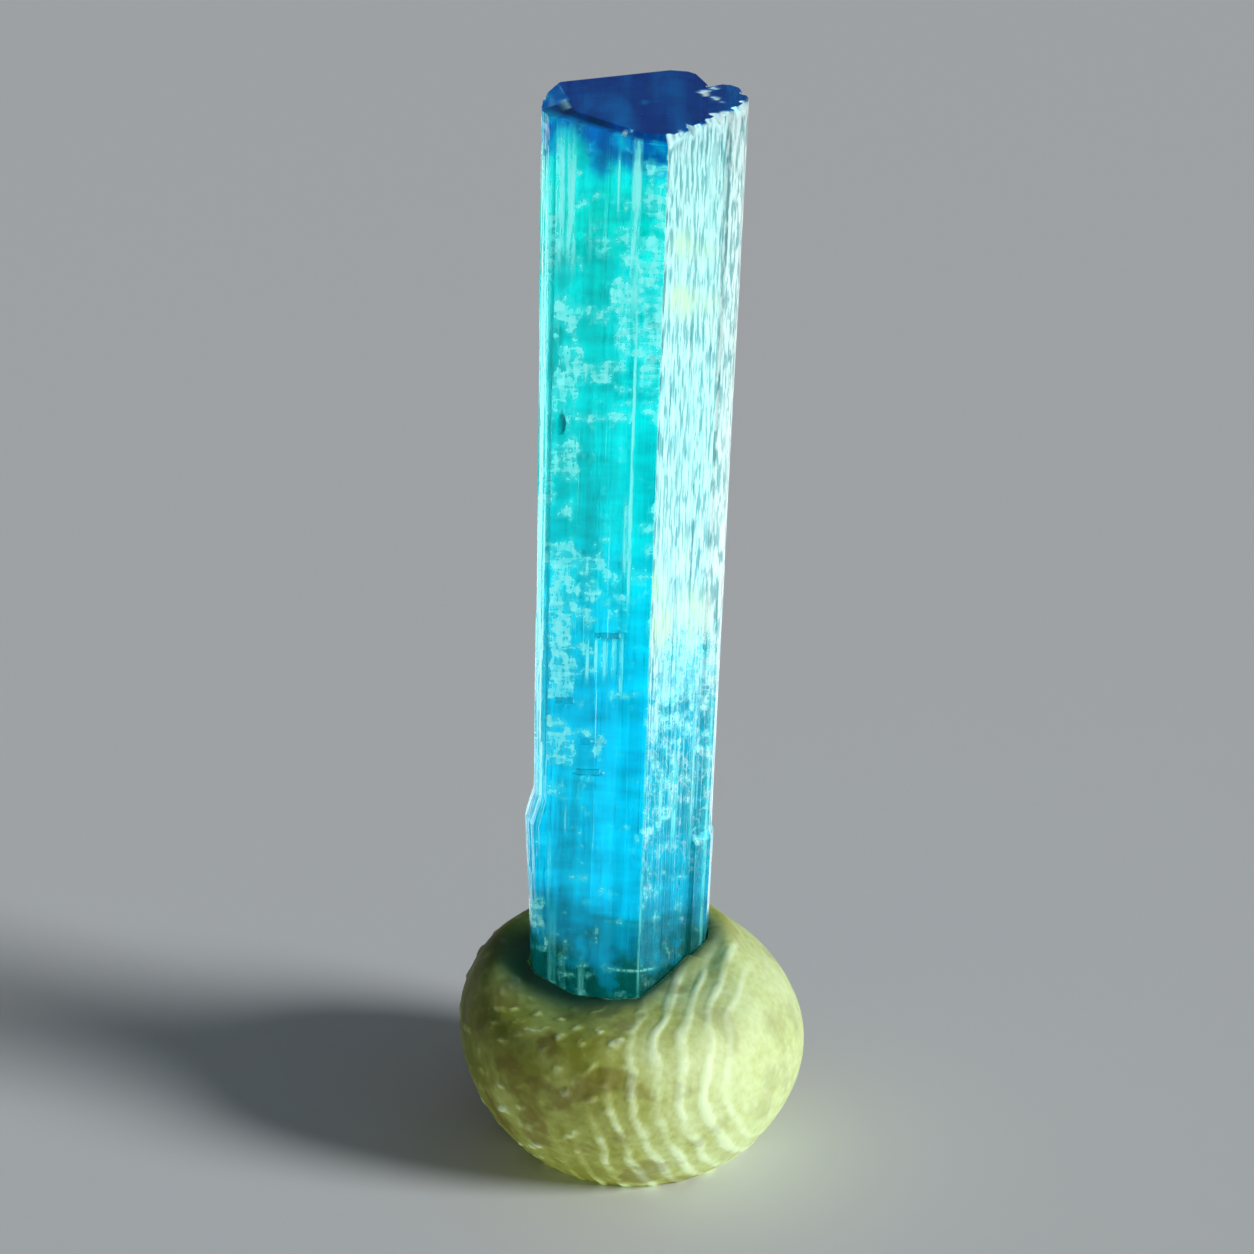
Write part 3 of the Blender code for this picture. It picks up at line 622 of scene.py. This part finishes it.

    # the side with a frosting: near white, partly real and partly a painted reflection of the light on its
    # right, with short grey-teal dashes and warmer patches; where it thins out it breaks up into a maze of
    # fine ridges
    fromMiddle = add("ShaderNodeMath", {0: grain["maze"], 1: 0.5}, operation="SUBTRACT")
    off = add("ShaderNodeMath", {0: fromMiddle}, operation="ABSOLUTE")
    maze = add("ShaderNodeMapRange", {"Value": off, "From Min": 0.34, "From Max": 0.06}, **smooth)
    mazy = add("ShaderNodeMath", {0: maze, 1: 0.3}, operation="MULTIPLY")
    spread = add("ShaderNodeMath", {0: grain["drift"], 1: 0.8, 2: mazy}, operation="MULTIPLY_ADD")
    thin = add("ShaderNodeMath", {0: frost, 1: 1.2, 2: spread}, operation="MULTIPLY_ADD")
    lying = add("ShaderNodeMapRange", {"Value": thin, "From Min": 0.86, "From Max": 1.5}, **smooth)
    hardness = add("ShaderNodeMapRange", {"Value": frost, "To Min": 0.3, "To Max": 0.92})
    frostedAndGlared = add("ShaderNodeMath", {0: lying, 1: hardness}, operation="MULTIPLY")
    filled = add("ShaderNodeMath", {0: grain["dashes"], 1: grain["spared"]}, operation="MAXIMUM")
    pitted = add("ShaderNodeMix", {"Factor": filled, 6: "#64868C", 7: "#F2F4EE"}, data_type="RGBA")
    streaked = add("ShaderNodeMath", {0: warm, 1: ragged}, operation="MULTIPLY", use_clamp=True)
    warmed = add("ShaderNodeMix", {"Factor": streaked, 6: pitted, 7: "#FFF2B0"}, data_type="RGBA")

    # the end: streaks of a lighter blue, and painted light: end faces painted lighter or darker than it, with
    # painted glints along the inner edges of the lighter ones
    where = add("ShaderNodeTexCoord").outputs["Object"]
    skewed = add("ShaderNodeMapping", {"Vector": where, "Rotation": (0, 0, 0.9), "Scale": (1500, 350, 1)})
    streaks = add("ShaderNodeTexNoise", {"Vector": skewed, "Scale": 1.0, "Detail": 3.0})
    streaky = add("ShaderNodeMapRange", {"Value": streaks, "From Min": 0.45, "From Max": 0.75, "To Max": 0.7})
    streaksAndPaintedFacetLight = add("ShaderNodeMath", {0: tint, 1: streaky}, operation="ADD")
    blue = add("ShaderNodeMapRange", {"Value": streaksAndPaintedFacetLight, "From Min": -0.5, "From Max": 1.0})
    ends = add("ShaderNodeValToRGB", {0: blue}, crystal["endBlues"])
    unchipped = add("ShaderNodeMath", {0: 1.0, 1: chip}, operation="SUBTRACT", use_clamp=True)
    onEnd = add("ShaderNodeMath", {0: unchipped, 1: end}, operation="MULTIPLY")
    # each layer covers those before it by its own share
    seen = body
    # the last layer, #003C46, is painted shade in pits and under the overhangs of growth steps
    for share, layer in ((greening, "#24A4A0"), (marks, veilTone), (frostedAndGlared, warmed), (chip, "#F4FAF8"),
                         (onEnd, ends), (dark, "#003C46")):
        seen = add("ShaderNodeMix", {"Factor": share, 6: seen, 7: layer}, data_type="RGBA")
    tree.links.new(seen.outputs[2], shader.inputs["Base Color"])

    matt = add("ShaderNodeMath", {0: marks, 1: frostedAndGlared}, operation="MAXIMUM")
    rough = add("ShaderNodeMapRange", {"Value": matt, "To Min": 0.09, "To Max": 0.45})
    tree.links.new(rough.outputs[0], shader.inputs["Roughness"])

    # fine striae, some 0.03 mm wide
    striae = add("ShaderNodeMath", {0: grain["threads"], 1: wall}, operation="MULTIPLY")
    raised = add("ShaderNodeMath", {0: marks, 1: 0.25, 2: striae}, operation="MULTIPLY_ADD")
    bump = add("ShaderNodeBump", {"Height": raised, "Strength": 0.35, "Distance": 0.01 * mm})
    tree.links.new(bump.outputs[0], shader.inputs["Normal"])
    # the stone soaks up most red light within some 2 mm
    depth = add("ShaderNodeVolumeAbsorption", {"Density": 500.0, "Color": "#30EEF6"})
    tree.links.new(depth.outputs[0], tree.get_output_node("ALL").inputs["Volume"])
    return material


def crystalPlace():
    return Matrix.Translation(crystal["base"]) @ Matrix.Rotation(math.radians(crystal["lean"]), 4, "Y")


def makeCrystal():
    points, notes = crystalGrid()
    mesh = meshFromGrid("tourmalineCrystal", points, (0, 0, 0), (0, 0, crystal["length"]))
    for number, name in enumerate(surfaceNotes):
        ends = (0.0, crystal["length"] if name in ("along", "level") else 0.0)
        values = np.concatenate([notes[:, number].ravel(), ends])
        mesh.attributes.new(name, "FLOAT", "POINT").data.foreach_set("value", values.astype(np.float32))
    mesh = bakeNodes(mesh, striationTree(), {**crystal["striae"], "Material": tourmalineMaterial()})
    mesh.transform(Matrix.Scale(mm, 4) @ crystalPlace())
    return placePiece("tourmalineCrystal", mesh, "tourmaline", "crystal")


tourmalineCrystal = makeCrystal()
print("crystal:", sum(len(p.vertices) - 2 for p in tourmalineCrystal.data.polygons), "triangles")


tack = {
    "radius": 3.17,
    "halfHeight": 2.62,
    "centre": (-0.02, 0.0, 1.93),
    "tilt": 9.5,
    "shoulder": 0.10,
    "contact": {"height": 3.5, "dip": 0.22, "bearing": -45, "spread": 32},
    "backRise": {"height": 0.66, "bearing": 128, "spread": 62},
    "dimple": {"near": 1.65, "far": 2.55, "narrowing": 0.15, "bearing": 125, "spread": 40},
    "frontShelf": {"softness": 0.22, "lift": 0.06},
    "meniscus": {"height": 0.05, "width": 0.23},
    # painted shade: the dark green band painted beside the crystal, and how much wider it is on the left
    "paintedCreaseShade": {"width": 0.2, "wider": 0.7, "bearing": -68, "spread": 60},
    "lip": {"bearing": 100, "spread": 36, "radius": 2.05, "width": 0.20, "height": 0.07},
    "gap": 0.02,
    "socketTop": 3.0,  # above the crystal's own foot
    "turns": 340,
    "levels": 220,
    "tones": ((0.0, "#848C2A"), (0.35, "#A8B45A"), (0.7, "#C8DA9C"), (1.0, "#D8ECBC")),
    "ridges": {
        "Ridge Spacing": 0.42,
        "Ridge Height": 0.028,
        "First Print": (0.90, -0.32, 0.30),
        "Open Away From": (-0.34, -0.94, 0.0),
        "Second Print": (-0.84, -0.08, 0.53),
        "Lump Height": 0.05,
        "Seed": 5.0,
    },
}


def ballGrid():
    turns, levels = tack["turns"], tack["levels"]
    u, v = np.meshgrid(np.linspace(0, 2 * np.pi, turns + 1)[:-1], np.linspace(-1, 1, levels + 2)[1:-1])
    up = np.sin(v * np.pi / 2)
    flat = np.cos(v * np.pi / 2)
    aim = np.stack([flat * np.cos(u), flat * np.sin(u), up], -1)
    width = tack["radius"] * (1 + tack["shoulder"] * up * (1 - up * up))
    points = aim * np.stack([width, width, np.full_like(width, tack["halfHeight"])], -1)
    tilt = np.array(Matrix.Rotation(math.radians(tack["tilt"]), 3, "Y"))
    return points @ tilt.T + np.array(tack["centre"]), aim


def lobe(bearing, part):
    return np.exp(-(turned(bearing - math.radians(part["bearing"])) / math.radians(part["spread"])) ** 2)


def settleTack(points):
    # sinks the top to the crystal, rolls up the lip beside it and presses the foot flat; also gives how much
    # painted shade each point gets beside the crystal
    lean = math.tan(math.radians(crystal["lean"]))
    x = points[:, 0] - crystal["base"][0] - (points[:, 2] - crystal["base"][2]) * lean
    away, bearing = np.hypot(x, points[:, 1]), np.arctan2(x, -points[:, 1])
    dimple, lip, meniscus, contact = tack["dimple"], tack["lip"], tack["meniscus"], tack["contact"]
    upper = points[:, 2] > tack["centre"][2]
    touch = contact["height"] - contact["dip"] * lobe(bearing, contact) + \
        tack["backRise"]["height"] * lobe(bearing, tack["backRise"])
    far = dimple["far"] - dimple["narrowing"] * lobe(bearing, dimple)
    hollow = (touch - points[:, 2]) * soft(-away, -far, -dimple["near"])
    # in front it rises to the crystal without a rim, to the lower of the ball and the contact
    shelf, lift = tack["frontShelf"]["softness"], tack["frontShelf"]["lift"]
    lower = np.exp(-points[:, 2] / shelf) + np.exp(-(touch + lift) / shelf)
    capped = -shelf * np.log(lower) - points[:, 2]
    ahead = soft(np.cos(bearing), 0.05, 0.6)
    points[:, 2] += np.where(upper, hollow + (capped - hollow) * ahead, 0)
    beside = lobe(bearing, lip)
    rolled = np.exp(-((away - lip["radius"]) / lip["width"]) ** 2)
    points[:, 2] += lip["height"] * beside * rolled * upper
    wall = crystalOutline(bearing, contact["height"] - crystal["base"][2])
    near = np.exp(-((away - wall) / meniscus["width"]) ** 2) * upper
    points[:, 2] += meniscus["height"] * near
    points[:, 2] = np.maximum(points[:, 2], 0)
    # painted shade: how much of the dark green band beside the crystal each point gets, widest on the left
    wide = tack["paintedCreaseShade"]["width"] + tack["paintedCreaseShade"]["wider"] * lobe(bearing, tack["paintedCreaseShade"])
    return points, np.exp(-((away - wall) / wide) ** 2) * upper


def fingerRidgeTree():
    tree, add = newShapeTree("fingerRidges", tack["ridges"])
    given = add("NodeGroupInput").outputs
    aim = add("GeometryNodeInputNamedAttribute", {"Name": "aim"}, data_type="FLOAT_VECTOR")
    lumpy, flecked, patchy = [
        add("ShaderNodeTexNoise", {"Vector": aim, "W": given["Seed"], "Scale": cells, "Detail": 2.0},
            noise_dimensions="4D") for cells in (2.2, 9.0, 5.5)]
    arcs, waves, meanRadius = [], [], 3.0
    for name in ("First Print", "Second Print"):
        middle = add("ShaderNodeVectorMath", {0: given[name]}, operation="NORMALIZE")
        facing = add("ShaderNodeVectorMath", {0: aim, 1: middle}, operation="DOT_PRODUCT")
        arc = add("ShaderNodeMath", {0: facing}, operation="ARCCOSINE")
        run = add("ShaderNodeMath", {0: arc, 1: meanRadius * 2 * math.pi}, operation="MULTIPLY")
        turns = add("ShaderNodeMath", {0: run, 1: given["Ridge Spacing"]}, operation="DIVIDE")
        waver = add("ShaderNodeMath", {0: lumpy, 1: 9.0, 2: turns}, operation="MULTIPLY_ADD")
        wave = add("ShaderNodeMath", {0: waver}, operation="SINE")
        lifted = add("ShaderNodeMapRange", {"Value": wave, "From Min": -0.15, "From Max": 1.0}, **smooth)
        arcs.append(arc)
        waves.append(lifted)
    # the first print lies over the second where its middle is nearer
    lead = add("ShaderNodeMath", {0: arcs[1], 1: arcs[0]}, operation="SUBTRACT")
    over = add("ShaderNodeMapRange", {"Value": lead, "From Min": -0.35, "From Max": 0.15}, **smooth)
    # its middle is smooth, and its arcs are open towards the back
    smoothMiddle = add("ShaderNodeMapRange",
                       {"Value": arcs[0], "From Min": 0.5, "From Max": 0.8, "To Min": 0.04}, **smooth)
    side = add("ShaderNodeVectorMath", {0: aim, 1: given["Open Away From"]}, operation="DOT_PRODUCT")
    opened = add("ShaderNodeMapRange", {"Value": side, "From Min": -0.3, "From Max": 0.08, "To Min": 0.05},
                 **smooth)
    arcsOnly = add("ShaderNodeMath", {0: smoothMiddle, 1: opened}, operation="MULTIPLY")
    first = add("ShaderNodeMath", {0: waves[0], 1: arcsOnly}, operation="MULTIPLY")
    # the second print is faint and shows only in flecks
    flecks = add("ShaderNodeMapRange",
                 {"Value": flecked, "From Min": 0.53, "From Max": 0.62, "To Min": 0.08, "To Max": 1.15})
    second = add("ShaderNodeMath", {0: waves[1], 1: flecks}, operation="MULTIPLY")
    ridge = add("ShaderNodeMix", {0: over, 2: second, 3: first}, data_type="FLOAT")
    worn = add("ShaderNodeMapRange",
               {"Value": patchy, "From Min": 0.35, "From Max": 0.6, "To Min": 0.3, "To Max": 1.1})
    printed = add("ShaderNodeMath", {0: ridge, 1: worn}, operation="MULTIPLY")
    # painted light: round the middle of the first print, on the side that faces the key light, the tack is
    # painted paler and less blotchy
    pressed = add("ShaderNodeMapRange", {"Value": arcs[0], "From Min": 1.7, "From Max": 0.5}, **smooth)
    kept = given["Geometry"]
    for name, value in (("ridge", printed), ("pressed", pressed)):
        kept = add("GeometryNodeStoreNamedAttribute", {"Geometry": kept, "Value": value, "Name": name},
                   data_type="FLOAT", domain="POINT")
    high = add("ShaderNodeMath", {0: printed, 1: given["Ridge Height"]}, operation="MULTIPLY")
    lump = add("ShaderNodeMath", {0: lumpy, 1: 0.5}, operation="SUBTRACT")
    total = add("ShaderNodeMath", {0: lump, 1: given["Lump Height"], 2: high}, operation="MULTIPLY_ADD")
    outward = add("GeometryNodeInputNormal")
    offset = add("ShaderNodeVectorMath", {0: outward, "Scale": total}, operation="SCALE")
    moved = add("GeometryNodeSetPosition", {"Geometry": kept, "Offset": offset})
    endShapeTree(add, moved, given["Material"])
    return tree


def tackMaterial():
    # mineral tack: a soft synthetic putty, matt and slightly waxy, whose kneading leaves
    # paler ridges and darker, more olive valleys
    material, tree, shader, add = newMaterial("mineralTack", {
        "IOR": 1.48, "Subsurface Weight": 0.25, "Subsurface Radius": (0.5 * mm, 0.6 * mm, 0.2 * mm),
        "Subsurface Scale": 1.0})
    ridge, pressed, contact = [add("ShaderNodeAttribute", attribute_name=name).outputs["Fac"]
                               for name in ("ridge", "pressed", "contact")]
    where = add("ShaderNodeTexCoord").outputs["Object"]
    # blotches of 1 mm and specks of 0.15 mm
    blotch = add("ShaderNodeTexNoise", {"Vector": where, "Scale": 900.0, "Detail": 3.0})
    speck = add("ShaderNodeTexNoise", {"Vector": where, "Scale": 6500.0, "Detail": 2.0})
    # painted light: the side that faces the key light is painted paler and less blotchy
    paler = add("ShaderNodeMath", {0: ridge, 1: 1.0, 2: pressed}, operation="MULTIPLY_ADD")
    calm = add("ShaderNodeMapRange", {"Value": pressed, "To Min": 1.25, "To Max": 0.4})
    centred = add("ShaderNodeMath", {0: blotch, 1: 0.5}, operation="SUBTRACT")
    mottled = add("ShaderNodeMath", {0: centred, 1: calm, 2: 0.5}, operation="MULTIPLY_ADD")
    level = add("ShaderNodeMath", {0: paler, 1: 0.45, 2: mottled}, operation="MULTIPLY_ADD")
    speckled = add("ShaderNodeMath", {0: speck, 1: 0.35, 2: level}, operation="MULTIPLY_ADD")
    tone = add("ShaderNodeMapRange", {"Value": speckled, "From Min": 0.56, "From Max": 1.36})
    tones = add("ShaderNodeValToRGB", {0: tone}, tack["tones"])
    # kneaded-in dirt: olive-brown stains a millimetre or so wide, kept mostly off the side that is painted
    # lit
    stain = add("ShaderNodeTexNoise", {"Vector": where, "Scale": 1300.0, "Detail": 3.0})
    stained = add("ShaderNodeMapRange", {"Value": stain, "From Min": 0.5, "From Max": 0.64, "To Max": 0.55},
                  **smooth)
    browned = add("ShaderNodeMath", {0: stained, 1: calm}, operation="MULTIPLY")
    brown = add("ShaderNodeMix", {"Factor": browned, 6: tones, 7: "#6E6416"}, data_type="RGBA")
    # painted shade: beside the crystal, widest on its left, the tack is painted the dark green of the
    # crystal's shadow and of light tinted through it
    rim = add("ShaderNodeMix", {"Factor": contact, 6: brown, 7: "#0C4C36"}, data_type="RGBA")
    tree.links.new(rim.outputs[2], shader.inputs["Base Color"])
    rough = add("ShaderNodeMapRange", {"Value": speck, "To Min": 0.42, "To Max": 0.7})
    tree.links.new(rough.outputs[0], shader.inputs["Roughness"])
    bump = add("ShaderNodeBump", {"Height": speck, "Strength": 0.4, "Distance": 0.02 * mm})
    tree.links.new(bump.outputs[0], shader.inputs["Normal"])
    return material


def socketCutter():
    # the crystal's lower end, a hair wider, which the tack closes round
    bearing = evenBearings(count=180)[0]
    rows = []
    for height in (-tack["gap"], 1.0, 2.0, tack["socketTop"]):
        radius = crystalOutline(bearing, max(height, 0)) + tack["gap"]
        rows.append(np.stack([radius * np.sin(bearing), -radius * np.cos(bearing),
                              np.full_like(bearing, height)], 1))
    cutter = meshFromGrid("socketCutter", np.array(rows), (0, 0, -tack["gap"]), (0, 0, tack["socketTop"]))
    cutter.transform(crystalPlace())
    return cutter


def cutOut(mesh, cutter):
    # mesh less cutter, as a plain mesh
    block, tool = addObject("block", mesh), addObject("tool", cutter)
    cutting = block.modifiers.new("socket", "BOOLEAN")
    cutting.operation, cutting.solver, cutting.object = "DIFFERENCE", "EXACT", tool
    result = bpy.data.meshes.new_from_object(block.evaluated_get(bpy.context.evaluated_depsgraph_get()))
    for thing in (block, tool):
        bpy.data.objects.remove(thing)
    return result


def makeTack():
    points, aim = ballGrid()
    low, high = points[0].mean(0), points[-1].mean(0)
    points = np.concatenate([points.reshape(-1, 3), [low, high]])
    points, near = settleTack(points)
    mesh = meshFromGrid("ball", points[:-2].reshape(*aim.shape), points[-2], points[-1])
    aims = np.concatenate([aim.reshape(-1, 3), [(0, 0, -1), (0, 0, 1)]])
    stored = mesh.attributes.new("aim", "FLOAT_VECTOR", "POINT").data
    stored.foreach_set("vector", aims.ravel().astype(np.float32))
    # how much painted shade each point gets beside the crystal
    stored = mesh.attributes.new("contact", "FLOAT", "POINT").data
    stored.foreach_set("value", near.astype(np.float32))
    mesh = bakeNodes(mesh, fingerRidgeTree(), {**tack["ridges"], "Material": tackMaterial()})
    for vertex in mesh.vertices:
        vertex.co.z = max(vertex.co.z, 0)
    mesh = cutOut(mesh, socketCutter())
    mesh.transform(Matrix.Scale(mm, 4))
    mesh.shade_smooth()
    return placePiece("mineralTack", mesh, "mineral_tack", "putty")


mineralTack = makeTack()
print("tack:", sum(len(p.vertices) - 2 for p in mineralTack.data.polygons), "triangles")


def makeFloor():
    half = 500 * mm
    corners = [(-half, -half, 0), (half, -half, 0), (half, half, 0), (-half, half, 0)]
    mesh = bpy.data.meshes.new("paleFloor")
    mesh.from_pydata(corners, [], [(0, 1, 2, 3)])
    material = newMaterial("palePaper", {"Base Color": linearColour("#D2D6D8"), "Roughness": 0.8})[0]
    mesh.materials.append(material)
    floor = addObject("paleFloor", mesh)


def softBox(name, place, aim, size, radiance, only=None, throughFloor=False):
    data = bpy.data.lights.new(name, "AREA")
    data.shape = "RECTANGLE"
    data.size, data.size_y = size[0] * mm, size[1] * mm
    data.energy = radiance * math.pi * data.size * data.size_y
    lamp = addObject(name, data)
    lamp.location = Vector(place) * mm
    lamp.rotation_euler = (Vector(aim) - Vector(place)).to_track_quat("-Z", "Y").to_euler()
    lamp.visible_camera = False
    if only:
        lit = bpy.data.collections.new(name + "Lights")
        for thing in only:
            lit.objects.link(thing)
        lamp.light_linking.receiver_collection = lit
        if throughFloor:
            lamp.light_linking.blocker_collection = lit


def farSoftBox(name, place, degreesWide, strength):
    # a soft box so far off that its light is the same all over the floor
    data = bpy.data.lights.new(name, "SUN")
    data.angle = math.radians(degreesWide)
    data.energy = strength
    lamp = addObject(name, data)
    lamp.rotation_euler = (-Vector(place)).to_track_quat("-Z", "Y").to_euler()


makeFloor()
glass = [tourmalineCrystal]
farSoftBox("keyLight", (87, -32, 40), 19, 3.3)
softBox("skyLight", (0, 20, 260), (0, 20, 0), (340, 340), 0.08)
# the light that a pale floor throws back up
softBox("floorBounce", (12, -40, -25), (0, 0, 1), (60, 30), 2.7, only=[mineralTack], throughFloor=True)
softBox("rightCard", (17, 4, 7), (0, 4, 7), (20, 13), 4, only=glass)
softBox("underGlow", (6, 26, 0.3), (6, 26, 10), (26, 42), 1.5, only=glass)
softBox("leftGlow", (-24, 22, 0.3), (-24, 22, 10), (30, 40), 3, only=glass)
softBox("frontGlow", (-40, -50, 60), (0, 0, 10), (60, 60), 9, only=glass)
world = bpy.data.worlds.new("studio")
world.use_nodes = True
sky = world.node_tree.nodes["Background"].inputs
sky["Color"].default_value = linearColour("#8A8C90")
sky["Strength"].default_value = 0.35
bpy.context.scene.world = world
bpy.context.scene.view_settings.view_transform = "Standard"
print("floor and lights set")
